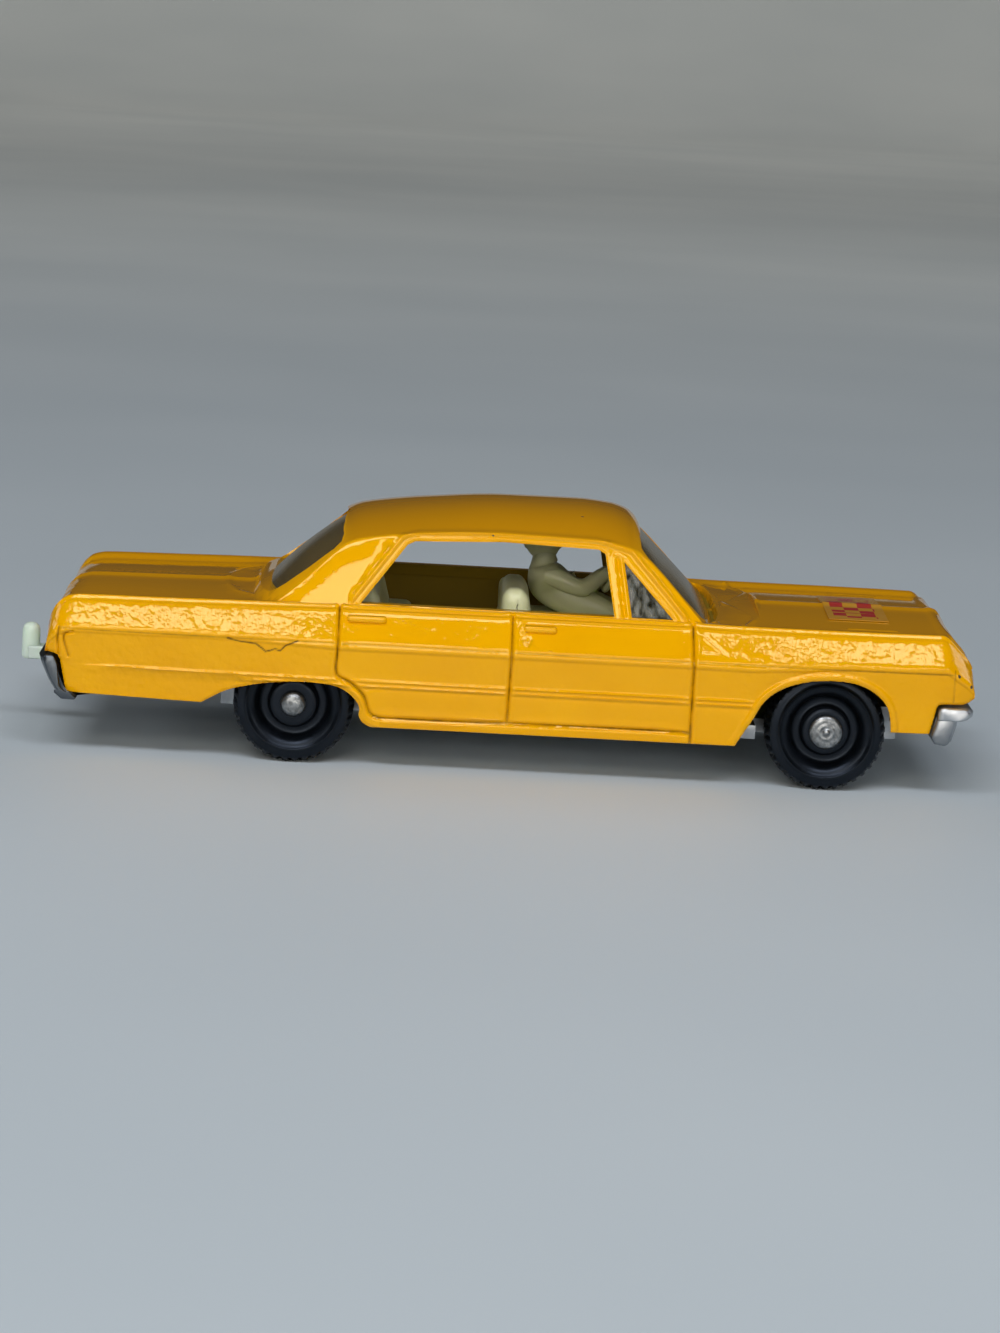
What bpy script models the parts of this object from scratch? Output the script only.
"""Die-cast toy taxi, about 1:70: a painted body riveted to a bare base, with a moulded interior,
clear glazing and four wheels that spin on two steel axles.

Metres, +Z up, +X to the front. The origin is on the ground below the middle of the car's box.
"""

import math

import bmesh
import bpy
from mathutils import Matrix, Vector

mm = 0.001

# Driving dimensions of the whole car
WHEELBASE = 42.8 * mm
FRONT_OVERHANG = 11.8 * mm  # front axle to the tip of the front bumper
TAIL_OVERHANG = 20.0 * mm  # rear axle to the tail of the body
HOOK_OVERHANG = 23.1 * mm  # rear axle to the back of the tow hook
HALF_WIDTH = 14.2 * mm  # at the belt crease
WHEEL_DIAMETER = 9.7 * mm
WHEEL_WIDTH = 3.9 * mm
AXLE_DIAMETER = 1.1 * mm
WALL = 1.1 * mm  # of the body casting

# Running fits
AXLE_RUNNING_CLEARANCE = 0.06 * mm
AXLE_HEAD_GAP = 0.12 * mm
WHEEL_WELL_CLEARANCE = 0.5 * mm  # round the tyre, inside the body
WHEEL_FACE_CLEARANCE = 0.25 * mm  # between the wheel's face and the fender
WHEEL_HOUSING_GAP = 0.5 * mm  # between the wheel and the axle housing
WHEEL_INSET = 1.5 * mm  # the wheel's face stands this far in from the belt crease
AXLE_Z = WHEEL_DIAMETER / 2
BORE_DIAMETER = AXLE_DIAMETER + 2 * AXLE_RUNNING_CLEARANCE
WHEEL_OUTER_Y = HALF_WIDTH - WHEEL_INSET
WHEEL_INNER_Y = WHEEL_OUTER_Y - WHEEL_WIDTH

# Body casting: heights are measured up from the axles, half widths in from the belt crease
ROOF_Z = AXLE_Z + 16.05 * mm
DRIP_RAIL_Z = AXLE_Z + 14.05 * mm
SIDE_WINDOW_TOP_Z = AXLE_Z + 13.65 * mm
WINDOW_SILL_Z = AXLE_Z + 8.35 * mm
HOOD_CREST_Z = AXLE_Z + 8.15 * mm
TAIL_CREST_Z = AXLE_Z + 7.65 * mm
CREASE_Z = AXLE_Z + 5.35 * mm
TRIM_Z = AXLE_Z + 2.35 * mm
SILL_Z = AXLE_Z - 1.35 * mm
TAIL_BOTTOM_Z = AXLE_Z - 0.05 * mm
NOSE_BOTTOM_Z = AXLE_Z + 0.3 * mm
REAR_BUMPER_SHELF_Z = AXLE_Z + 3.35 * mm  # the body's lower edge above the rear bumper
FRONT_BUMPER_SHELF_Z = AXLE_Z + 2.9 * mm
ARCH_TOP_FRONT = AXLE_Z + 4.35 * mm
ARCH_TOP_REAR = AXLE_Z + 2.0 * mm
CREST_INSET = 1.8 * mm  # the fender-top edge
SILL_TUCK = 1.0 * mm  # the lower edge
HOOD_RIDGE_RISE = 0.45 * mm
VALLEY_DEPTH = 0.4 * mm
GLASS_FOOT_HALF_WIDTH = HALF_WIDTH - 1.9 * mm  # side glass plane at the window sill
GLASS_TOP_HALF_WIDTH = HALF_WIDTH - 3.8 * mm  # side glass plane at the drip rail
DRIP_RAIL_PROUD = 0.25 * mm
GREENHOUSE_SINK = 1.0 * mm  # the roof form starts this far below the window sill
NOSE_OPENING_HALF_WIDTH = HALF_WIDTH - 2.7 * mm
NOSE_OPENING_TOP_Z = AXLE_Z + 5.55 * mm
TAIL_PANEL_HALF_WIDTH = HALF_WIDTH - 2.6 * mm
TAIL_PANEL_HEIGHT = 2.4 * mm
TAIL_PANEL_DEPTH = 0.35 * mm
TAIL_LAMP_DIAMETER = 2.1 * mm
TAIL_LAMP_PITCH = 2.7 * mm
TAIL_LAMP_Z = REAR_BUMPER_SHELF_Z + TAIL_PANEL_HEIGHT / 2

# Rivet posts, cast in the body and peened under the base
POST_DIAMETER = 3.0 * mm
POST_CLEARANCE = 0.2 * mm
PEEN_DIAMETER = 4.4 * mm
PEEN_HEIGHT = 0.45 * mm
PEEN_WELL_DEPTH = 0.65 * mm
FRONT_POST_SETBACK = 5.6 * mm  # behind the front axle
REAR_POST_SETBACK = 8.2 * mm  # behind the rear axle

# Base casting
AXLE_HOUSING_LENGTH = 3.4 * mm  # along the car
AXLE_HOUSING_WALL = 0.44 * mm  # under the bore
AXLE_HOUSING_CAP = 0.74 * mm  # over the bore
AXLE_HOUSING_HALF_WIDTH = WHEEL_INNER_Y - WHEEL_HOUSING_GAP
AXLE_HOUSING_TOP_Z = AXLE_Z + BORE_DIAMETER / 2 + AXLE_HOUSING_CAP
PLATE_BOTTOM_Z = AXLE_Z - BORE_DIAMETER / 2 - AXLE_HOUSING_WALL
PLATE_THICKNESS = 1.1 * mm
TAIL_PLATE_BOTTOM_Z = PLATE_BOTTOM_Z + 0.4 * mm
NOSE_PLATE_BOTTOM_Z = NOSE_BOTTOM_Z + 0.15 * mm
PLATE_SIDE_GAP = 0.4 * mm
BUMPER_HALF_WIDTH = HALF_WIDTH - 0.7 * mm
BUMPER_CORNER = 0.7 * mm
GRILLE_THICKNESS = 0.9 * mm
GRILLE_SETBACK = 1.6 * mm  # behind the tip of the front bumper
GRILLE_GAP = 0.3 * mm
HEADLAMP_DIAMETER = 2.5 * mm
HEADLAMP_PROUD = 0.5 * mm
HEADLAMP_PITCH = 2.8 * mm
HEADLAMP_MARGIN = 1.8 * mm  # outer lamp's centre in from the edge of the nose opening
HEADLAMP_Z = NOSE_OPENING_TOP_Z - 1.55 * mm

# Axles and wheels
SIDEWALL_DIAMETER = 7.6 * mm
RECESS_DIAMETER = 5.8 * mm
RECESS_DEPTH = 1.2 * mm
HUB_DIAMETER = 3.9 * mm
HUB_RECESS = 0.3 * mm  # the hub's face behind the sidewall's
FRONT_HEAD_DIAMETER = 2.75 * mm
REAR_HEAD_DIAMETER = 2.1 * mm
HEAD_HEIGHT = 0.65 * mm
HEAD_RIM = 0.2 * mm

# Interior moulding
INTERIOR_GAP = 0.3 * mm
FLOOR_THICKNESS = 0.9 * mm
FLOOR_HALF_WIDTH = HALF_WIDTH - WALL - 1.3 * mm
FLOOR_FRONT_GAP = 2.1 * mm  # from the floor's front edge to the rivet post
FLOOR_BOTTOM_Z = PLATE_BOTTOM_Z + PLATE_THICKNESS + INTERIOR_GAP
FLOOR_TOP_Z = FLOOR_BOTTOM_Z + FLOOR_THICKNESS
SEAT_HALF_WIDTH = HALF_WIDTH - 4.8 * mm
REAR_SEAT_HALF_WIDTH = WHEEL_INNER_Y - 0.2 * mm
BENCH_INSET = 0.4 * mm  # a bench's sides stand this far in from the seat back's
CUSHION_Z = AXLE_Z + 5.75 * mm
FRONT_SEAT_BACK_HEIGHT = 3.6 * mm  # above the cushion
REAR_SEAT_BACK_HEIGHT = 3.3 * mm
SEAT_BACK_THICKNESS = 2.2 * mm
DASH_THICKNESS = 1.8 * mm
DASH_HEIGHT = 1.4 * mm  # above the cushion
DRIVER_Y = SEAT_HALF_WIDTH / 2 + 0.3 * mm
STEERING_WHEEL_DIAMETER = 3.6 * mm
STEERING_RIM_DIAMETER = 0.8 * mm
STEERING_SPOKE_DIAMETER = 0.55 * mm
STEERING_COLUMN_DIAMETER = 0.9 * mm
STEERING_COLUMN_LENGTH = 5.6 * mm
STEERING_TILT = math.radians(112)
TOW_ARM_BOTTOM_Z = TAIL_PLATE_BOTTOM_Z + PLATE_THICKNESS + 0.15 * mm
TOW_ARM_THICKNESS = 1.1 * mm
TOW_ARM_WIDTH = 1.9 * mm
TOW_POST_DIAMETER = 1.5 * mm
TOW_POST_HEIGHT = 2.95 * mm  # from the bottom of the arm
EYE_WIDTH = 1.3 * mm  # plastic round the rear rivet post

# Glazing and decal
GLAZING_GAP = 0.2 * mm
GLAZING_THICKNESS = 0.7 * mm
GLAZING_STRIP_HALF_WIDTH = 6.0 * mm
DECAL_LENGTH = 5.0 * mm
DECAL_WIDTH = 12.6 * mm
DECAL_THICKNESS = 0.12 * mm
DECAL_GAP = 0.06 * mm
DECAL_OFFSET = 2.7 * mm  # the film's middle ahead of the front axle

# Stations along the car
LENGTH = FRONT_OVERHANG + WHEELBASE + HOOK_OVERHANG
FRONT_AXLE_X = LENGTH / 2 - FRONT_OVERHANG
REAR_AXLE_X = FRONT_AXLE_X - WHEELBASE
MID_X = (FRONT_AXLE_X + REAR_AXLE_X) / 2
TAIL_X = REAR_AXLE_X - TAIL_OVERHANG
HOOK_X = REAR_AXLE_X - HOOK_OVERHANG
FRONT_POST_X = FRONT_AXLE_X - FRONT_POST_SETBACK
REAR_POST_X = REAR_AXLE_X - REAR_POST_SETBACK

FAR = 60 * mm  # past everything, for cutters that go right through
STEP = 0.02 * mm  # keeps faces that would share a plane just apart
ROUND_STEPS = 24
WHEEL_STEPS = 36
LAMP_STEPS = 16


def front(offset):
    """A station measured in millimetres ahead of the front axle."""
    return FRONT_AXLE_X + offset * mm


def rear(offset):
    """A station measured in millimetres ahead of the rear axle."""
    return REAR_AXLE_X + offset * mm


def mid(offset):
    """A station measured in millimetres ahead of the middle of the wheelbase."""
    return MID_X + offset * mm


def nose(offset):
    """A station measured in millimetres behind the tip of the front bumper."""
    return FRONT_AXLE_X + FRONT_OVERHANG - offset * mm


def tail(offset):
    """A station measured in millimetres ahead of the tail of the body."""
    return TAIL_X + offset * mm


def up(height):
    """A height measured in millimetres above the axles."""
    return AXLE_Z + height * mm


def clear_scene():
    for obj in list(bpy.data.objects):
        bpy.data.objects.remove(obj, do_unlink=True)
    for collection in list(bpy.data.collections):
        bpy.data.collections.remove(collection)


def new_collection(name):
    collection = bpy.data.collections.new(name)
    bpy.context.scene.collection.children.link(collection)
    return collection


def principled(name, colour, roughness, metallic=0.0, transmission=0.0):
    material = bpy.data.materials.new(name)
    material.use_nodes = True
    shader = material.node_tree.nodes["Principled BSDF"]
    shader.inputs["Base Color"].default_value = (*colour, 1)
    shader.inputs["Roughness"].default_value = roughness
    shader.inputs["Metallic"].default_value = metallic
    shader.inputs["Transmission Weight"].default_value = transmission
    material.diffuse_color = (*colour, 1)
    return material


def object_from(name, bm, collection):
    """An object from a bmesh, with its faces turned outwards."""
    bmesh.ops.recalc_face_normals(bm, faces=bm.faces[:])
    mesh = bpy.data.meshes.new(name)
    bm.to_mesh(mesh)
    bm.free()
    obj = bpy.data.objects.new(name, mesh)
    collection.objects.link(obj)
    return obj


def add_rings(bm, rings):
    """Joins closed rings of equally many points into a solid with flat ends."""
    loops = [[bm.verts.new(point) for point in ring] for ring in rings]
    count = len(loops[0])
    for first, second in zip(loops, loops[1:]):
        for i in range(count):
            j = (i + 1) % count
            bm.faces.new((first[i], first[j], second[j], second[i]))
    bm.faces.new(loops[0])
    bm.faces.new(loops[-1])


def loft(name, rings, collection):
    bm = bmesh.new()
    add_rings(bm, rings)
    return object_from(name, bm, collection)


def block(name, low, high, collection):
    bm = bmesh.new()
    bmesh.ops.create_cube(bm, size=1)
    size = Vector(high) - Vector(low)
    bmesh.ops.scale(bm, vec=size, verts=bm.verts[:])
    bmesh.ops.translate(bm, vec=(Vector(high) + Vector(low)) / 2, verts=bm.verts[:])
    return object_from(name, bm, collection)


def rod(name, start, end, diameter, collection, steps=ROUND_STEPS):
    """A round bar between two points."""
    start, end = Vector(start), Vector(end)
    bm = bmesh.new()
    bmesh.ops.create_cone(
        bm,
        cap_ends=True,
        segments=steps,
        radius1=diameter / 2,
        radius2=diameter / 2,
        depth=(end - start).length,
    )
    turn = Vector((0, 0, 1)).rotation_difference(end - start).to_matrix().to_4x4()
    bmesh.ops.transform(bm, matrix=Matrix.Translation((start + end) / 2) @ turn, verts=bm.verts[:])
    return object_from(name, bm, collection)


def column(name, x, y, profile, collection, steps=ROUND_STEPS):
    """A turned upright form, from (height, radius) points."""
    rings = []
    for z, radius in profile:
        angles = [2 * math.pi * i / steps for i in range(steps)]
        rings.append([(x + radius * math.cos(a), y + radius * math.sin(a), z) for a in angles])
    return loft(name, rings, collection)


def extruded(name, outline, low_y, high_y, collection):
    """A solid whose outline in X and Z runs along Y."""
    rings = [[(x, y, z) for x, z in outline] for y in (low_y, high_y)]
    return loft(name, rings, collection)


def extruded_along_x(name, outline, low_x, high_x, collection):
    """A solid whose outline in Y and Z runs along X."""
    rings = [[(x, y, z) for y, z in outline] for x in (low_x, high_x)]
    return loft(name, rings, collection)


def boolean(target, other, operation):
    """Adds a Boolean whose other object becomes a hidden helper."""
    modifier = target.modifiers.new(other.name, "BOOLEAN")
    modifier.object = other
    modifier.operation = operation
    modifier.solver = "EXACT"
    other.hide_render = True
    other.display_type = "WIRE"


def cut(target, *others):
    for other in others:
        boolean(target, other, "DIFFERENCE")


def join(target, *others):
    for other in others:
        boolean(target, other, "UNION")


def smooth(points, x):
    """A smooth curve through points sorted by X, without overshoot."""
    points = sorted(points)
    if x <= points[0][0]:
        return points[0][1]
    if x >= points[-1][0]:
        return points[-1][1]
    slopes = [(b[1] - a[1]) / (b[0] - a[0]) for a, b in zip(points, points[1:])]
    tangents = [slopes[0]]
    for left, right in zip(slopes, slopes[1:]):
        tangents.append(0 if left * right <= 0 else 2 * left * right / (left + right))
    tangents.append(slopes[-1])
    i = max(k for k in range(len(points) - 1) if points[k][0] <= x)
    (x0, y0), (x1, y1) = points[i], points[i + 1]
    width = x1 - x0
    t = (x - x0) / width
    return (
        (2 * t**3 - 3 * t**2 + 1) * y0
        + (t**3 - 2 * t**2 + t) * width * tangents[i]
        + (3 * t**2 - 2 * t**3) * y1
        + (t**3 - t**2) * width * tangents[i + 1]
    )


def straight(points, x):
    """Straight lines through points sorted by X."""
    points = sorted(points)
    if x <= points[0][0]:
        return points[0][1]
    for (x0, y0), (x1, y1) in zip(points, points[1:]):
        if x <= x1:
            return y0 + (y1 - y0) * (x - x0) / (x1 - x0)
    return points[-1][1]


def inset_line(points, distance):
    """A line moved square to itself, to the right of its run."""
    moved = []
    for i, (x, z) in enumerate(points):
        before = points[max(i - 1, 0)]
        after = points[min(i + 1, len(points) - 1)]
        run = Vector((after[0] - before[0], after[1] - before[1])).normalized()
        moved.append((x + run.y * distance, z - run.x * distance))
    return moved


# Lower body

NOSE_X = nose(0.1)
CREST_LINE = [
    (TAIL_X, TAIL_CREST_Z - 3.6 * mm),
    (tail(0.2), TAIL_CREST_Z - 1.6 * mm),
    (tail(0.8), TAIL_CREST_Z - 0.6 * mm),
    (tail(1.7), TAIL_CREST_Z),
    (rear(-11.6), TAIL_CREST_Z + 0.2 * mm),
    (rear(-3.0), TAIL_CREST_Z + 0.4 * mm),
    (mid(-12.0), WINDOW_SILL_Z - 0.1 * mm),
    (mid(9.0), WINDOW_SILL_Z - 0.1 * mm),
    (front(-7.4), HOOD_CREST_Z),
    (nose(2.6), HOOD_CREST_Z),
    (nose(1.6), HOOD_CREST_Z - 0.9 * mm),
    (nose(0.7), HOOD_CREST_Z - 1.8 * mm),
    (nose(0.2), HOOD_CREST_Z - 2.9 * mm),
    (NOSE_X, HOOD_CREST_Z - 3.3 * mm),
]
RIDGE_RISE_LINE = [
    (tail(1.4), 0),
    (rear(-8.0), 0.05 * mm),
    (mid(0), 0),
    (front(-4.0), HOOD_RIDGE_RISE),
    (nose(2.8), HOOD_RIDGE_RISE),
    (NOSE_X, 0.1 * mm),
]
VALLEY_LINE = [
    (TAIL_X, VALLEY_DEPTH / 2),
    (tail(2.0), VALLEY_DEPTH),
    (rear(-5.0), VALLEY_DEPTH),
    (mid(-14.0), 0.05 * mm),
    (mid(10.0), 0.05 * mm),
    (front(-4.0), VALLEY_DEPTH),
    (nose(2.6), VALLEY_DEPTH),
    (NOSE_X, 0.15 * mm),
]
PLAN_LINE = [
    (TAIL_X, HALF_WIDTH - 1.1 * mm),
    (tail(1.0), HALF_WIDTH - 0.55 * mm),
    (tail(5.0), HALF_WIDTH - 0.2 * mm),
    (rear(-6.0), HALF_WIDTH),
    (front(0), HALF_WIDTH),
    (nose(4.8), HALF_WIDTH - 0.25 * mm),
    (nose(1.8), HALF_WIDTH - 0.6 * mm),
    (NOSE_X, HALF_WIDTH - 1.2 * mm),
]
BOTTOM_LINE = [
    (TAIL_X, REAR_BUMPER_SHELF_Z),
    (tail(0.8), REAR_BUMPER_SHELF_Z - 0.15 * mm),
    (tail(1.1), REAR_BUMPER_SHELF_Z - 0.5 * mm),
    (tail(2.2), TAIL_BOTTOM_Z + 0.2 * mm),
    (tail(2.6), TAIL_BOTTOM_Z),
    (rear(-5.0), TAIL_BOTTOM_Z - 0.1 * mm),
    (rear(4.0), SILL_Z),
    (front(-6.0), SILL_Z),
    (front(3.0), NOSE_BOTTOM_Z),
    (nose(3.8), NOSE_BOTTOM_Z),
    (nose(3.3), FRONT_BUMPER_SHELF_Z),
    (nose(0.7), FRONT_BUMPER_SHELF_Z),
    (NOSE_X, FRONT_BUMPER_SHELF_Z + 0.55 * mm),
]


def spaced(stations, gap):
    """Sorted stations, without those that lie nearer than the gap to the one before."""
    kept = []
    for x in sorted(stations):
        if not kept or x - kept[-1] > gap:
            kept.append(x)
    return kept


BODY_STATIONS = spaced(
    [x for line in (CREST_LINE, PLAN_LINE, BOTTOM_LINE) for x, _ in line] + [mid(-2.0)],
    0.15 * mm,
)


def mirrored(half):
    """A whole ring from the half on the +Y side, which starts low and ends on the centre line."""
    return half + [(-y, z) for y, z in reversed(half) if y > 0]


def body_half_section(x):
    width = smooth(PLAN_LINE, x)
    low = straight(BOTTOM_LINE, x)
    crest = smooth(CREST_LINE, x)
    tall = crest - low
    crease = min(CREASE_Z, low + 0.62 * tall)
    trim = TRIM_Z if TRIM_Z > low + 1 * mm else low + 0.3 * tall
    under_crease = crease - min(0.4 * mm, 0.1 * tall)
    shoulder = crest - min(0.6 * mm, 0.2 * tall)
    crest_y = width - CREST_INSET * min(1, tall / (4 * mm))
    valley = crest - smooth(VALLEY_LINE, x)
    ridge = crest + smooth(RIDGE_RISE_LINE, x)
    return [
        (width - SILL_TUCK, low),
        (width - SILL_TUCK / 2, trim),
        (width - 0.2 * mm, under_crease),
        (width, crease),
        (crest_y + 0.6 * mm, shoulder),
        (crest_y, crest),
        (crest_y - 0.6 * mm, crest - 0.03 * mm),
        (crest_y - 1.5 * mm, valley),
        (5.0 * mm, (valley + ridge) / 2),
        (0.9 * mm, ridge - 0.2 * mm),
        (0, ridge),
    ]


def cavity_half_section(x):
    width = smooth(PLAN_LINE, x) - WALL
    crest = smooth(CREST_LINE, x) - WALL
    low = straight(BOTTOM_LINE, x)
    crease = min(CREASE_Z, low + 0.5 * (crest - low))
    top = crest - smooth(VALLEY_LINE, x) - 0.02 * mm
    return [
        (width - SILL_TUCK, -WALL),
        (width - SILL_TUCK, low),
        (width, crease),
        (width - CREST_INSET, top),
        (0, top),
    ]


def body_rings(half_section, stations):
    return [[(x, y, z) for y, z in mirrored(half_section(x))] for x in stations]


# Greenhouse

CENTRE_LINE = [
    (rear(-4.2), WINDOW_SILL_Z - 0.6 * mm),
    (rear(-3.5), WINDOW_SILL_Z + 0.2 * mm),
    (rear(3.4), ROOF_Z - 1.8 * mm),
    (rear(4.2), ROOF_Z - 1.4 * mm),
    (rear(6.3), ROOF_Z - 0.9 * mm),
    (rear(9.9), ROOF_Z - 0.4 * mm),
    (mid(-5.2), ROOF_Z),
    (mid(1.1), ROOF_Z),
    (mid(4.6), ROOF_Z - 0.45 * mm),
    (mid(5.8), ROOF_Z - 1.2 * mm),
    (mid(6.2), ROOF_Z - 2.0 * mm),
    (mid(11.8), WINDOW_SILL_Z + 0.2 * mm),
    (mid(12.5), WINDOW_SILL_Z - 0.6 * mm),
]
EDGE_LINE = [
    (rear(-2.6), WINDOW_SILL_Z - 0.8 * mm),
    (rear(0.0), WINDOW_SILL_Z + 1.2 * mm),
    (rear(4.4), DRIP_RAIL_Z - 1.0 * mm),
    (rear(7.8), DRIP_RAIL_Z - 0.3 * mm),
    (mid(-6.5), DRIP_RAIL_Z + 0.2 * mm),
    (mid(3.4), DRIP_RAIL_Z),
    (mid(5.4), DRIP_RAIL_Z - 0.3 * mm),
    (mid(10.7), WINDOW_SILL_Z + 0.2 * mm),
    (mid(11.7), WINDOW_SILL_Z - 0.8 * mm),
]
GREENHOUSE_FOOT_Z = WINDOW_SILL_Z - GREENHOUSE_SINK
CROWN_SHARES = (0.97, 0.88, 0.72, 0.5, 0.25, 0)


def side_glass_y(z):
    """Half width of the side glass plane at a height."""
    share = (z - WINDOW_SILL_Z) / (DRIP_RAIL_Z - WINDOW_SILL_Z)
    return GLASS_FOOT_HALF_WIDTH + share * (GLASS_TOP_HALF_WIDTH - GLASS_FOOT_HALF_WIDTH)


def greenhouse_half_section(x, inset, centre_line, edge_line):
    centre = straight(centre_line, x)
    edge = min(straight(edge_line, x), centre)
    low = min(GREENHOUSE_FOOT_Z, edge - 0.4 * mm) - inset
    proud = DRIP_RAIL_PROUD if inset == 0 else 0
    under_rail = edge - 0.15 * mm
    sides = [low + (under_rail - low) * share for share in (0, 0.35, 0.7, 1)]
    half = [(side_glass_y(z) - inset, z) for z in sides]
    edge_y = side_glass_y(edge) - inset
    half.append((edge_y + proud, edge))
    for share in CROWN_SHARES:
        z = centre - (centre - edge) * share**2.4
        half.append((edge_y * share, z + (0.1 * mm if share > 0.9 else 0)))
    return half


def greenhouse_rings(inset):
    centre_line = inset_line(CENTRE_LINE, inset)
    edge_line = inset_line(EDGE_LINE, inset)
    first, last = centre_line[0][0], centre_line[-1][0]
    stations = spaced([x for x, _ in centre_line + edge_line if first <= x <= last], 0.25 * mm)
    return [
        [(x, y, z) for y, z in mirrored(greenhouse_half_section(x, inset, centre_line, edge_line))]
        for x in stations
    ]


SIDE_WINDOW = [
    (mid(-16.4), WINDOW_SILL_Z),
    (mid(-12.8), SIDE_WINDOW_TOP_Z - 0.5 * mm),
    (mid(-11.8), SIDE_WINDOW_TOP_Z - 0.2 * mm),
    (mid(-5.3), SIDE_WINDOW_TOP_Z),
    (mid(2.2), SIDE_WINDOW_TOP_Z - 0.2 * mm),
    (mid(2.8), SIDE_WINDOW_TOP_Z - 0.5 * mm),
    (mid(4.1), WINDOW_SILL_Z),
]
VENT_WINDOW = [
    (mid(4.5), SIDE_WINDOW_TOP_Z - 1.0 * mm),
    (mid(5.3), WINDOW_SILL_Z),
    (mid(8.6), WINDOW_SILL_Z),
]


def beside_glass(z, inset):
    """A point of a window opening, given how far it stands in from the side glass plane."""
    return (side_glass_y(z) - inset, z)


WINDSCREEN_OPENING = [
    beside_glass(WINDOW_SILL_Z + 0.4 * mm, 0.9 * mm),
    beside_glass(DRIP_RAIL_Z - 0.75 * mm, 1.45 * mm),
    beside_glass(DRIP_RAIL_Z - 0.35 * mm, 1.9 * mm),
    (0, DRIP_RAIL_Z + 0.15 * mm),
]
REAR_OPENING = [
    beside_glass(WINDOW_SILL_Z + 0.4 * mm, 1.8 * mm),
    beside_glass(DRIP_RAIL_Z - 1.4 * mm, 2.1 * mm),
    beside_glass(DRIP_RAIL_Z - 0.9 * mm, 2.7 * mm),
    (GLASS_TOP_HALF_WIDTH * 0.43, DRIP_RAIL_Z - 0.25 * mm),
    (0, DRIP_RAIL_Z - 0.05 * mm),
]

# Wheel arches, in millimetres from the axle; the height is stretched to the arch's named top
REAR_ARCH = [
    (-7.4, -4.0),
    (-7.3, -0.15),
    (-5.8, 0.65),
    (-4.9, 1.1),
    (-2.6, 1.75),
    (0.0, 2.0),
    (2.3, 1.95),
    (3.9, 1.65),
    (5.0, 0.95),
    (5.4, 0.05),
    (5.4, -4.0),
]
FRONT_ARCH = [
    (-7.6, -4.0),
    (-7.5, -1.45),
    (-6.8, -0.75),
    (-6.2, 0.45),
    (-5.5, 1.75),
    (-4.5, 3.15),
    (-3.3, 3.95),
    (-1.6, 4.3),
    (0.3, 4.35),
    (2.5, 4.25),
    (4.0, 3.55),
    (4.8, 2.45),
    (5.0, 1.35),
    (5.0, -4.0),
]


def arch_outline(axle_x, points, top_z):
    """The arch's outline, whose upper points rise to the given top."""
    stretch = (top_z - AXLE_Z) / max(z for _, z in points)
    return [
        (axle_x + x * mm, AXLE_Z + (z * stretch if z > 0 else z * mm)) for x, z in points
    ]


def wheel_well(name, axle, side, collection):
    """Room for the tyre behind the fender, with half a turn of round over straight sides."""
    x = FRONT_AXLE_X if axle == "front" else REAR_AXLE_X
    radius = WHEEL_DIAMETER / 2 + WHEEL_WELL_CLEARANCE
    outline = [(x - radius, 0), (x + radius, 0)]
    for degrees in range(0, 181, 15):
        a = math.radians(degrees)
        outline.append((x + radius * math.cos(a), AXLE_Z + radius * math.sin(a)))
    inner = side * (WHEEL_INNER_Y - WHEEL_FACE_CLEARANCE)
    return extruded(name, outline, inner, side * (WHEEL_OUTER_Y + WHEEL_FACE_CLEARANCE), collection)


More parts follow.
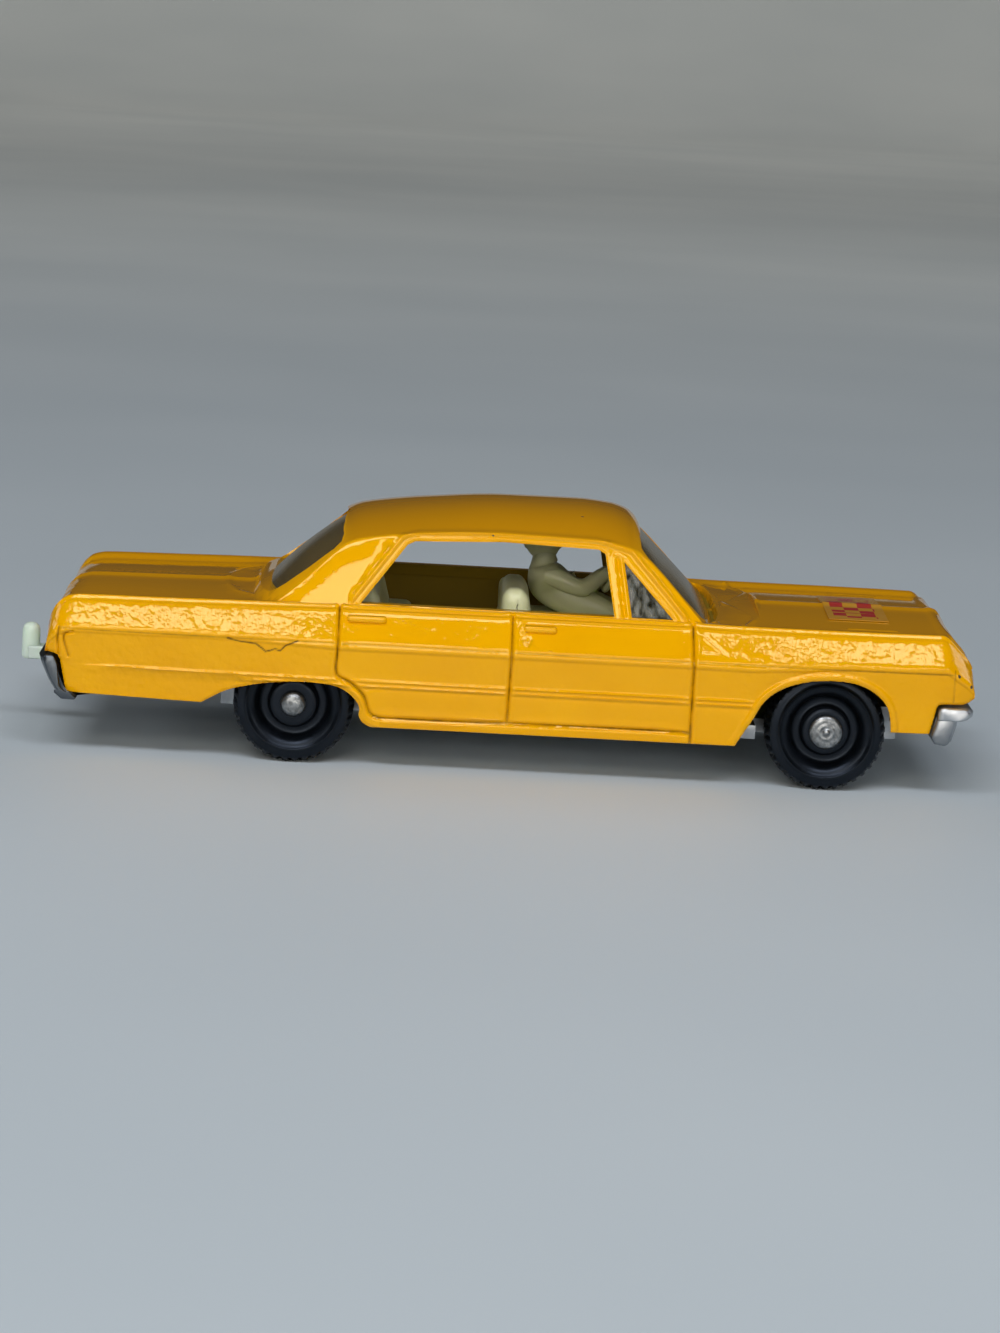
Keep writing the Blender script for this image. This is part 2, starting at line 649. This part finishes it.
def make_body(parts, helpers, paint):
    body = loft("body_shell", body_rings(body_half_section, BODY_STATIONS), parts)
    join(body, loft("greenhouse_form", greenhouse_rings(0), helpers))
    back, fore = TAIL_X + WALL + TAIL_PANEL_DEPTH, NOSE_X - 1.5 * WALL
    between = [x for x in BODY_STATIONS if back + 0.2 * mm < x < fore - 0.2 * mm]
    cavity_stations = [back] + between + [fore]
    cut(body, loft("body_cavity", body_rings(cavity_half_section, cavity_stations), helpers))
    cut(body, loft("greenhouse_cavity", greenhouse_rings(WALL), helpers))
    cut(
        body,
        extruded("side_window_cut", SIDE_WINDOW, -FAR, FAR, helpers),
        extruded("vent_window_cut", VENT_WINDOW, -FAR, FAR, helpers),
        extruded_along_x(
            "windscreen_cut", mirrored(WINDSCREEN_OPENING), mid(5.0), mid(16.0), helpers
        ),
        extruded_along_x("rear_window_cut", mirrored(REAR_OPENING), rear(-8.0), rear(6.6), helpers),
    )
    arch_inner_y = AXLE_HOUSING_HALF_WIDTH + 0.4 * mm
    for side, name in ((1, "left"), (-1, "right")):
        for axle, outline in (
            ("front", arch_outline(FRONT_AXLE_X, FRONT_ARCH, ARCH_TOP_FRONT)),
            ("rear", arch_outline(REAR_AXLE_X, REAR_ARCH, ARCH_TOP_REAR)),
        ):
            cut(
                body,
                extruded(
                    f"{axle}_arch_{name}_cut", outline, side * arch_inner_y, side * FAR, helpers
                ),
                wheel_well(f"{axle}_well_{name}_cut", axle, side, helpers),
            )
    cut(
        body,
        block(
            "nose_opening_cut",
            (nose(4.8), -NOSE_OPENING_HALF_WIDTH, 0),
            (nose(-3.2), NOSE_OPENING_HALF_WIDTH, NOSE_OPENING_TOP_Z),
            helpers,
        ),
        block(
            "tail_panel_cut",
            (tail(-5.0), -TAIL_PANEL_HALF_WIDTH, REAR_BUMPER_SHELF_Z),
            (
                TAIL_X + TAIL_PANEL_DEPTH,
                TAIL_PANEL_HALF_WIDTH,
                REAR_BUMPER_SHELF_Z + TAIL_PANEL_HEIGHT,
            ),
            helpers,
        ),
    )
    for side, name in ((1, "left"), (-1, "right")):
        for place in range(3):
            y = side * (TAIL_PANEL_HALF_WIDTH - 1.6 * mm - place * TAIL_LAMP_PITCH)
            lamp = rod(
                f"tail_lamp_{name}_{place + 1}",
                (tail(-0.1), y, TAIL_LAMP_Z),
                (TAIL_X + 2 * TAIL_PANEL_DEPTH, y, TAIL_LAMP_Z),
                TAIL_LAMP_DIAMETER,
                helpers,
                steps=LAMP_STEPS,
            )
            join(body, lamp)
    for name, x in (("front", FRONT_POST_X), ("rear", REAR_POST_X)):
        deck = smooth(CREST_LINE, x) - WALL
        plate = base_bottom_at(x)
        post = POST_DIAMETER / 2
        peen = PEEN_DIAMETER / 2
        profile = [
            (plate + STEP, peen - PEEN_HEIGHT),
            (plate + PEEN_HEIGHT / 2, peen),
            (plate + PEEN_HEIGHT, peen),
            (plate + PEEN_HEIGHT + STEP, post),
            (deck + 0.2 * WALL, post),
        ]
        join(body, column(f"{name}_post", x, 0, profile, helpers))
    body.data.materials.append(paint)
    return body


# Base

def base_bottom_at(x):
    if x < rear(-5.0):
        return TAIL_PLATE_BOTTOM_Z
    if x > front(4.2):
        return NOSE_PLATE_BOTTOM_Z
    return PLATE_BOTTOM_Z


FRONT_BUMPER = [
    (nose(3.45), up(0.1)),
    (nose(3.05), up(-0.45)),
    (nose(1.7), up(-0.55)),
    (nose(1.2), up(0.05)),
    (nose(0.4), up(1.35)),
    (nose(0), up(1.9)),
    (nose(0.05), up(2.3)),
    (nose(0.5), up(2.55)),
    (nose(2.75), up(2.6)),
    (nose(2.95), up(2.25)),
]
REAR_BUMPER = [
    (tail(-0.4), up(3.05)),
    (tail(-0.55), up(2.65)),
    (tail(0.1), up(1.05)),
    (tail(1.0), up(-0.25)),
    (tail(1.7), up(-0.55)),
    (tail(2.6), up(-0.5)),
    (tail(2.7), up(-0.35)),
    (tail(1.9), up(-0.15)),
    (tail(1.6), up(0.25)),
    (tail(0.7), up(2.75)),
    (tail(0.2), up(3.0)),
]


def bumper(name, outline, collection):
    """A bar across the car whose ends are drawn in a little, like cast corners."""
    centre_x = sum(x for x, _ in outline) / len(outline)
    centre_z = sum(z for _, z in outline) / len(outline)
    rings = []
    for y, share in (
        (-BUMPER_HALF_WIDTH, 0.72),
        (-BUMPER_HALF_WIDTH + BUMPER_CORNER / 3, 0.9),
        (-BUMPER_HALF_WIDTH + BUMPER_CORNER, 1),
        (BUMPER_HALF_WIDTH - BUMPER_CORNER, 1),
        (BUMPER_HALF_WIDTH - BUMPER_CORNER / 3, 0.9),
        (BUMPER_HALF_WIDTH, 0.72),
    ):
        rings.append(
            [(centre_x + (x - centre_x) * share, y, centre_z + (z - centre_z) * share)
             for x, z in outline]
        )
    return loft(name, rings, collection)


def plate_half_width(x):
    """How wide the base can be inside the body at a station."""
    return smooth(PLAN_LINE, x) - SILL_TUCK - WALL - PLATE_SIDE_GAP


def make_grille(base, helpers):
    """The grille panel with two lamps at each end."""
    face = nose(GRILLE_SETBACK / mm)
    half_width = NOSE_OPENING_HALF_WIDTH - GRILLE_GAP
    panel = block(
        "grille_form",
        (face - GRILLE_THICKNESS, -half_width, up(1.75)),
        (face, half_width, NOSE_OPENING_TOP_Z - GRILLE_GAP),
        helpers,
    )
    join(base, panel)
    for side, name in ((1, "left"), (-1, "right")):
        for place in range(2):
            y = side * (NOSE_OPENING_HALF_WIDTH - HEADLAMP_MARGIN - place * HEADLAMP_PITCH)
            lamp = rod(
                f"headlamp_{name}_{place + 1}",
                (face - GRILLE_THICKNESS / 3, y, HEADLAMP_Z),
                (face + HEADLAMP_PROUD, y, HEADLAMP_Z),
                HEADLAMP_DIAMETER,
                helpers,
                steps=LAMP_STEPS,
            )
            join(base, lamp)


def make_base(parts, helpers, zinc):
    narrow = AXLE_HOUSING_HALF_WIDTH
    mid_edge = min(plate_half_width(x) for x in (rear(6), mid(0), front(-6)))
    tail_edge = plate_half_width(tail(3.0)) - 0.2 * mm
    nose_edge = plate_half_width(nose(3.8))
    top = PLATE_BOTTOM_Z + PLATE_THICKNESS
    tail_top = TAIL_PLATE_BOTTOM_Z + PLATE_THICKNESS
    nose_top = NOSE_PLATE_BOTTOM_Z + PLATE_THICKNESS
    base = block(
        "base_plate", (rear(-6), -narrow, PLATE_BOTTOM_Z), (front(6), narrow, top), parts
    )
    join(
        base,
        block(
            "mid_plate",
            (rear(5.6), -mid_edge, PLATE_BOTTOM_Z + STEP),
            (front(-5.6), mid_edge, top + STEP),
            helpers,
        ),
        block(
            "tail_plate",
            (tail(2.1), -tail_edge, TAIL_PLATE_BOTTOM_Z),
            (rear(-5.1), tail_edge, tail_top),
            helpers,
        ),
        block(
            "nose_riser",
            (front(4.6), -narrow, PLATE_BOTTOM_Z + STEP),
            (front(6.1), narrow, nose_top + STEP),
            helpers,
        ),
        block(
            "nose_plate",
            (front(5.5), -nose_edge, NOSE_PLATE_BOTTOM_Z),
            (nose(2.2), nose_edge, nose_top),
            helpers,
        ),
        bumper("front_bumper_form", FRONT_BUMPER, helpers),
        bumper("rear_bumper_form", REAR_BUMPER, helpers),
    )
    make_grille(base, helpers)
    for axle, x in (("front", FRONT_AXLE_X), ("rear", REAR_AXLE_X)):
        half = AXLE_HOUSING_LENGTH / 2
        join(
            base,
            block(
                f"{axle}_axle_housing",
                (x - half, STEP - narrow, PLATE_BOTTOM_Z + STEP),
                (x + half, narrow - STEP, AXLE_HOUSING_TOP_Z),
                helpers,
            ),
        )
        bore = rod(
            f"{axle}_axle_bore", (x, -FAR, AXLE_Z), (x, FAR, AXLE_Z), BORE_DIAMETER, helpers
        )
        cut(base, bore)
    for name, x in (("front", FRONT_POST_X), ("rear", REAR_POST_X)):
        bottom = base_bottom_at(x)
        hole = POST_DIAMETER / 2 + POST_CLEARANCE
        well = PEEN_DIAMETER / 2 + POST_CLEARANCE
        profile = [
            (bottom - PLATE_THICKNESS, well),
            (bottom + PEEN_WELL_DEPTH, well),
            (bottom + PEEN_WELL_DEPTH + STEP, hole),
            (HOOD_CREST_Z, hole),
        ]
        cut(base, column(f"{name}_post_hole", x, 0, profile, helpers))
    cut(
        base,
        block(
            "tow_arm_slot",
            (HOOK_X, -TOW_ARM_WIDTH / 2 - INTERIOR_GAP, TOW_ARM_BOTTOM_Z - 0.2 * mm),
            (
                tail(3.0),
                TOW_ARM_WIDTH / 2 + INTERIOR_GAP,
                TOW_ARM_BOTTOM_Z + TOW_ARM_THICKNESS + INTERIOR_GAP,
            ),
            helpers,
        ),
    )
    base.data.materials.append(zinc)
    return base


# Axles and wheels

def turned(name, profile, steps, collection, origin, closed=False):
    """A shape turned round the Y axis through the origin, from (radius, y) points."""
    bm = bmesh.new()
    verts = [bm.verts.new((radius, y, 0)) for radius, y in profile]
    for a, b in zip(verts, verts[1:] + verts[:1] if closed else verts[1:]):
        bm.edges.new((a, b))
    mesh = bpy.data.meshes.new(name)
    bm.to_mesh(mesh)
    bm.free()
    obj = bpy.data.objects.new(name, mesh)
    obj.location = origin
    collection.objects.link(obj)
    screw = obj.modifiers.new("turn", "SCREW")
    screw.axis = "Y"
    screw.steps = steps
    screw.render_steps = steps
    screw.use_merge_vertices = True
    screw.merge_threshold = 0.000001
    screw.use_smooth_shade = True
    return obj


def make_axle(name, x, head_diameter, parts, steel):
    """Wire with a domed head at each end, from one head's pole to the other's."""
    head_foot = WHEEL_OUTER_Y - HUB_RECESS + AXLE_HEAD_GAP
    wire = AXLE_DIAMETER / 2
    head = head_diameter / 2
    dome = []
    for degrees in (0, 30, 55, 75):
        a = math.radians(degrees)
        rise = HEAD_RIM + (HEAD_HEIGHT - HEAD_RIM) * math.sin(a)
        dome.append((head * math.cos(a), head_foot + rise))
    half = [(wire, head_foot), (head, head_foot)] + dome + [(0, head_foot + HEAD_HEIGHT)]
    profile = list(reversed(half)) + [(r, -y) for r, y in half]
    axle = turned(name, profile, ROUND_STEPS, parts, (x, 0, AXLE_Z))
    axle.data.materials.append(steel)
    return axle


def wheel_profile():
    """Closed profile of one wheel, with its outer face on +Y and its middle at Y 0."""
    half = WHEEL_WIDTH / 2
    tyre = WHEEL_DIAMETER / 2
    bore = BORE_DIAMETER / 2
    wall = SIDEWALL_DIAMETER / 2
    recess = RECESS_DIAMETER / 2
    hub = HUB_DIAMETER / 2
    face = half - HUB_RECESS
    return [
        (bore, face),
        (hub - 0.25 * mm, face),
        (hub, face - 0.2 * mm),
        (hub + 0.15 * mm, half - RECESS_DEPTH),
        (recess - 0.15 * mm, half - RECESS_DEPTH),
        (recess, half - 0.35 * mm),
        (wall - 0.3 * mm, half),
        (wall, half),
        (tyre - 0.45 * mm, half - 0.15 * mm),
        (tyre, half - 0.75 * mm),
        (tyre, 0.6 * mm - half),
        (tyre - 0.4 * mm, 0.1 * mm - half),
        (wall, -half),
        (bore, -half),
    ]


def make_wheel(name, x, side, parts, plastic):
    points = [(radius, side * y) for radius, y in wheel_profile()]
    if side < 0:
        points.reverse()
    centre_y = side * (WHEEL_OUTER_Y - WHEEL_WIDTH / 2)
    wheel = turned(name, points, WHEEL_STEPS, parts, (x, centre_y, AXLE_Z), closed=True)
    wheel.data.materials.append(plastic)
    return wheel


# Interior

def seat_back(name, foot_x, top_x, foot_z, top_z, half_width, collection):
    """A leaning slab with a rounded top edge."""
    thick = SEAT_BACK_THICKNESS
    outline = [(foot_x - thick / 2, foot_z), (foot_x + thick / 2, foot_z)]
    for angle in range(0, 181, 30):
        a = math.radians(angle)
        outline.append(
            (top_x + thick / 2 * math.cos(a), top_z - thick / 2 + thick / 2 * math.sin(a))
        )
    return extruded(name, outline, -half_width, half_width, collection)


def make_driver(target, helpers):
    """A seated figure, skinned over its joints.

    Each joint has its place, as millimetres ahead of the middle of the wheelbase, left of the
    driver's middle and above the cushion, and its half thicknesses.
    """
    floor = (FLOOR_TOP_Z - CUSHION_Z) / mm
    joints = {
        "hips": ((-0.5, 0, 0.7), (1.7, 2.0)),
        "waist": ((-1.0, 0, 2.1), (1.35, 1.8)),
        "chest": ((-1.4, 0, 3.6), (1.35, 2.1)),
        "neck": ((-1.5, 0, 5.0), (0.8, 0.8)),
        "jaw": ((-1.4, 0, 5.9), (1.15, 1.05)),
        "crown": ((-1.35, 0, 7.1), (1.35, 1.2)),
    }
    spine = ("hips", "waist", "chest", "neck", "jaw", "crown")
    bones = list(zip(spine, spine[1:]))
    for side, name in ((-1, "right"), (1, "left")):
        joints[f"{name}_shoulder"] = ((-1.2, side * 1.9, 3.9), (0.9, 0.9))
        joints[f"{name}_elbow"] = ((1.2, side * 2.3, 2.6), (0.75, 0.75))
        joints[f"{name}_hand"] = ((3.7, side * 1.1, 3.9), (0.55, 0.55))
        joints[f"{name}_knee"] = ((4.6, side * 1.2, 1.2), (0.95, 0.95))
        joints[f"{name}_foot"] = ((7.2, side * 1.2, floor + 0.1), (0.7, 0.7))
        bones += [
            ("chest", f"{name}_shoulder"),
            (f"{name}_shoulder", f"{name}_elbow"),
            (f"{name}_elbow", f"{name}_hand"),
            ("hips", f"{name}_knee"),
            (f"{name}_knee", f"{name}_foot"),
        ]
    bm = bmesh.new()
    skin = bm.verts.layers.skin.verify()
    verts = {}
    for name, ((x, y, z), radii) in joints.items():
        vert = bm.verts.new((mid(x), DRIVER_Y + y * mm, CUSHION_Z + z * mm))
        vert[skin].radius = [r * mm for r in radii]
        vert[skin].use_root = name == "hips"
        verts[name] = vert
    for a, b in bones:
        bm.edges.new((verts[a], verts[b]))
    mesh = bpy.data.meshes.new("driver_figure_form")
    bm.to_mesh(mesh)
    bm.free()
    figure = bpy.data.objects.new("driver_figure_form", mesh)
    helpers.objects.link(figure)
    figure.modifiers.new("body", "SKIN")
    rounding = figure.modifiers.new("rounding", "SUBSURF")
    rounding.levels = 1
    rounding.render_levels = 1
    join(target, figure)


def limb(name, start, end, diameter, collection):
    return rod(name, start, end, diameter, collection, steps=10)


def make_steering_wheel(target, helpers):
    centre = Vector((mid(4.3), DRIVER_Y, CUSHION_Z + 3.6 * mm))
    rim = STEERING_RIM_DIAMETER / 2
    radius = STEERING_WHEEL_DIAMETER / 2 - rim
    tilt = Matrix.Rotation(STEERING_TILT, 4, "Y")
    ring_steps, tube_steps = 24, 8
    bm = bmesh.new()
    loops = []
    for i in range(ring_steps):
        a = 2 * math.pi * i / ring_steps
        loop = []
        for j in range(tube_steps):
            b = 2 * math.pi * j / tube_steps
            reach = radius + rim * math.cos(b)
            point = Vector((reach * math.cos(a), reach * math.sin(a), rim * math.sin(b)))
            loop.append(bm.verts.new(centre + tilt @ point))
        loops.append(loop)
    for first, second in zip(loops, loops[1:] + loops[:1]):
        for j in range(tube_steps):
            k = (j + 1) % tube_steps
            bm.faces.new((first[j], second[j], second[k], first[k]))
    rim_object = object_from("steering_rim", bm, helpers)
    axis = tilt @ Vector((0, 0, 1))
    upright = tilt @ Vector((radius, 0, 0))
    across = Vector((0, radius, 0))
    spoke = STEERING_SPOKE_DIAMETER
    join(
        target,
        rim_object,
        rod("steering_spoke_up", centre - upright, centre + upright, spoke, helpers, 10),
        rod("steering_spoke_across", centre - across, centre + across, 0.9 * spoke, helpers, 10),
        rod(
            "steering_column",
            centre - axis * 0.4 * mm,
            centre + axis * STEERING_COLUMN_LENGTH,
            STEERING_COLUMN_DIAMETER,
            helpers,
            10,
        ),
    )


def tow_post_profile():
    """Upright pin with a round top."""
    radius = TOW_POST_DIAMETER / 2
    profile = [
        (TOW_ARM_BOTTOM_Z - STEP, radius - 0.15 * mm),
        (TOW_ARM_BOTTOM_Z + 0.15 * mm, radius),
    ]
    shoulder = TOW_ARM_BOTTOM_Z + TOW_POST_HEIGHT - radius
    for degrees in (0, 25, 50, 70, 85):
        a = math.radians(degrees)
        profile.append((shoulder + radius * math.sin(a), radius * math.cos(a)))
    return profile


def make_tow_hook(interior, web_x, helpers):
    """The arm that runs back from the seat's web, with an eye round the rivet post and a pin."""
    low = TOW_ARM_BOTTOM_Z
    high = low + TOW_ARM_THICKNESS
    hole = POST_DIAMETER + 2 * INTERIOR_GAP
    post_x = HOOK_X + TOW_POST_DIAMETER / 2
    join(
        interior,
        block(
            "rear_web",
            (web_x - 1.1 * mm, -TOW_ARM_WIDTH, low + STEP),
            (web_x, TOW_ARM_WIDTH, CUSHION_Z - 0.4 * mm),
            helpers,
        ),
        block(
            "tow_arm",
            (post_x, -TOW_ARM_WIDTH / 2, low),
            (web_x - 0.2 * mm, TOW_ARM_WIDTH / 2, high),
            helpers,
        ),
        rod(
            "rivet_eye",
            (REAR_POST_X, 0, low + STEP),
            (REAR_POST_X, 0, high - STEP),
            hole + 2 * EYE_WIDTH,
            helpers,
        ),
        column("tow_post", post_x, 0, tow_post_profile(), helpers),
    )
    cut(
        interior,
        rod("rivet_eye_hole", (REAR_POST_X, 0, 0), (REAR_POST_X, 0, CUSHION_Z), hole, helpers),
    )


def make_interior(parts, helpers, ivory):
    floor_front = FRONT_POST_X - POST_DIAMETER / 2 - FLOOR_FRONT_GAP
    interior = block(
        "interior_moulding",
        (rear(6.0), -FLOOR_HALF_WIDTH, FLOOR_BOTTOM_Z),
        (floor_front, FLOOR_HALF_WIDTH, FLOOR_TOP_Z),
        parts,
    )
    bench = REAR_SEAT_HALF_WIDTH - BENCH_INSET
    front_bench = SEAT_HALF_WIDTH - BENCH_INSET
    behind_housing = REAR_AXLE_X - AXLE_HOUSING_LENGTH / 2 - INTERIOR_GAP
    before_housing = REAR_AXLE_X + AXLE_HOUSING_LENGTH / 2 + INTERIOR_GAP
    back_foot = CUSHION_Z - 1.5 * mm
    dash_back = mid(8.2)
    join(
        interior,
        block(
            "rear_bench",
            (rear(-1.0), -bench, AXLE_HOUSING_TOP_Z + INTERIOR_GAP),
            (rear(9.0), bench, CUSHION_Z),
            helpers,
        ),
        block(
            "rear_bench_front",
            (before_housing, -bench + STEP, FLOOR_BOTTOM_Z + STEP),
            (rear(8.9), bench - STEP, CUSHION_Z - 0.2 * mm),
            helpers,
        ),
        seat_back(
            "rear_seat_back",
            rear(4.6),
            rear(5.4),
            back_foot,
            CUSHION_Z + REAR_SEAT_BACK_HEIGHT,
            REAR_SEAT_HALF_WIDTH,
            helpers,
        ),
        block(
            "parcel_shelf",
            (behind_housing - 1.2 * mm, -bench - STEP, CUSHION_Z - 0.9 * mm),
            (rear(4.6), bench + STEP, CUSHION_Z + 0.1 * mm),
            helpers,
        ),
        block(
            "front_bench",
            (mid(-5.4), -front_bench, FLOOR_TOP_Z - FLOOR_THICKNESS / 3),
            (mid(2.4), front_bench, CUSHION_Z),
            helpers,
        ),
        seat_back(
            "front_seat_back",
            mid(-3.9),
            mid(-4.2),
            back_foot,
            CUSHION_Z + FRONT_SEAT_BACK_HEIGHT,
            SEAT_HALF_WIDTH,
            helpers,
        ),
        block(
            "dash",
            (dash_back, 0.6 * mm - FLOOR_HALF_WIDTH, FLOOR_TOP_Z - FLOOR_THICKNESS / 3),
            (dash_back + DASH_THICKNESS, FLOOR_HALF_WIDTH - 0.6 * mm, CUSHION_Z + DASH_HEIGHT),
            helpers,
        ),
    )
    make_tow_hook(interior, behind_housing, helpers)
    make_driver(interior, helpers)
    make_steering_wheel(interior, helpers)
    interior.data.materials.append(ivory)
    return interior


# Glazing and decal

def make_glazing(parts, helpers, clear):
    outer = WALL + GLAZING_GAP
    glazing = loft("window_glazing", greenhouse_rings(outer), parts)
    cut(
        glazing,
        loft("glazing_hollow", greenhouse_rings(outer + GLAZING_THICKNESS), helpers),
        block(
            "glazing_foot_cut",
            (-FAR, -FAR, 0),
            (FAR, FAR, WINDOW_SILL_Z - GLAZING_THICKNESS / 2),
            helpers,
        ),
        block(
            "glazing_left_cut",
            (rear(4.2), GLAZING_STRIP_HALF_WIDTH, CREASE_Z),
            (mid(4.3), FAR, FAR),
            helpers,
        ),
        block(
            "glazing_right_cut",
            (rear(4.2), -FAR, CREASE_Z),
            (mid(4.3), -GLAZING_STRIP_HALF_WIDTH, FAR),
            helpers,
        ),
    )
    glazing.data.materials.append(clear)
    return glazing


def make_decal(parts, print_red):
    """A film that follows the hood, a hair above the paint."""
    centre_x = FRONT_AXLE_X + DECAL_OFFSET
    rows = 7
    columns = 10
    bm = bmesh.new()
    layers = []
    for lift in (DECAL_GAP, DECAL_GAP + DECAL_THICKNESS):
        grid = []
        for i in range(rows):
            x = centre_x - DECAL_LENGTH / 2 + DECAL_LENGTH * i / (rows - 1)
            half = [(y, z) for y, z in body_half_section(x)[5:]]
            line = []
            for j in range(columns + 1):
                y = -DECAL_WIDTH / 2 + DECAL_WIDTH * j / columns
                line.append(bm.verts.new((x, y, straight(half, abs(y)) + lift)))
            grid.append(line)
        layers.append(grid)
    low, high = layers
    for i in range(rows - 1):
        for j in range(columns):
            bm.faces.new((low[i][j], low[i][j + 1], low[i + 1][j + 1], low[i + 1][j]))
            bm.faces.new((high[i][j], high[i + 1][j], high[i + 1][j + 1], high[i][j + 1]))
    rim = (
        [(0, j) for j in range(columns)]
        + [(i, columns) for i in range(rows - 1)]
        + [(rows - 1, j) for j in range(columns, 0, -1)]
        + [(i, 0) for i in range(rows - 1, 0, -1)]
    )
    for (i, j), (k, m) in zip(rim, rim[1:] + rim[:1]):
        bm.faces.new((low[i][j], high[i][j], high[k][m], low[k][m]))
    decal = object_from("hood_decal", bm, parts)
    decal.data.materials.append(print_red)
    return decal


def main():
    clear_scene()
    parts = new_collection("toy_taxi")
    helpers = new_collection("cutters_and_forms")
    paint = principled("yellow_enamel", (0.82, 0.38, 0.0), 0.18)
    zinc = principled("bare_zinc", (0.62, 0.63, 0.64), 0.35, metallic=1.0)
    ivory = principled("ivory_plastic", (0.66, 0.72, 0.52), 0.4)
    clear = principled("clear_plastic", (0.75, 0.74, 0.68), 0.08, transmission=0.9)
    steel = principled("bright_steel", (0.72, 0.72, 0.72), 0.25, metallic=1.0)
    black = principled("black_plastic", (0.012, 0.013, 0.015), 0.35)
    print_red = principled("decal_print", (0.6, 0.02, 0.02), 0.4)
    make_body(parts, helpers, paint)
    make_base(parts, helpers, zinc)
    make_interior(parts, helpers, ivory)
    make_glazing(parts, helpers, clear)
    make_decal(parts, print_red)
    make_axle("front_axle", FRONT_AXLE_X, FRONT_HEAD_DIAMETER, parts, steel)
    make_axle("rear_axle", REAR_AXLE_X, REAR_HEAD_DIAMETER, parts, steel)
    for axle, x in (("front", FRONT_AXLE_X), ("rear", REAR_AXLE_X)):
        for side, name in ((1, "left"), (-1, "right")):
            make_wheel(f"wheel_{axle}_{name}", x, side, parts, black)


main()
